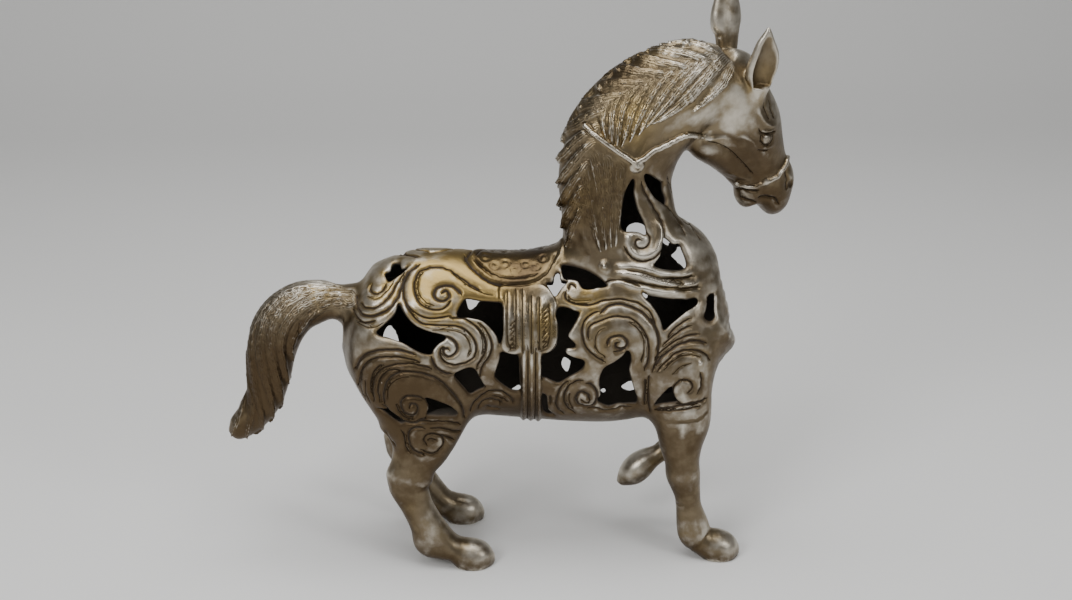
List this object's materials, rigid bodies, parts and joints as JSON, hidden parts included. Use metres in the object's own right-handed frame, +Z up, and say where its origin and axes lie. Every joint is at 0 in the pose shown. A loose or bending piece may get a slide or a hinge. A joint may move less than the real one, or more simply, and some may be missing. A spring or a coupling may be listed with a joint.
{
  "type": "openwork horse statue",
  "caption": "Hollow cast metal stepping horse pierced with scrollwork, with moulded saddle, girth, collar, bridle and mane, standing on flat hooves.",
  "frame": {"origin": "middle of the statue's outline in plan, at the level of the soles", "axes": "+X towards the horse's head, +Y towards its left side, +Z up"},
  "size_m": [0.39, 0.0982, 0.3983],
  "materials": {
    "cast_metal": "antique silvered brass, brown in the hollows and rubbed bright on the high places"
  },
  "bodies": {
    "root": {"horse": "cast_metal"}
  },
  "joints": []
}
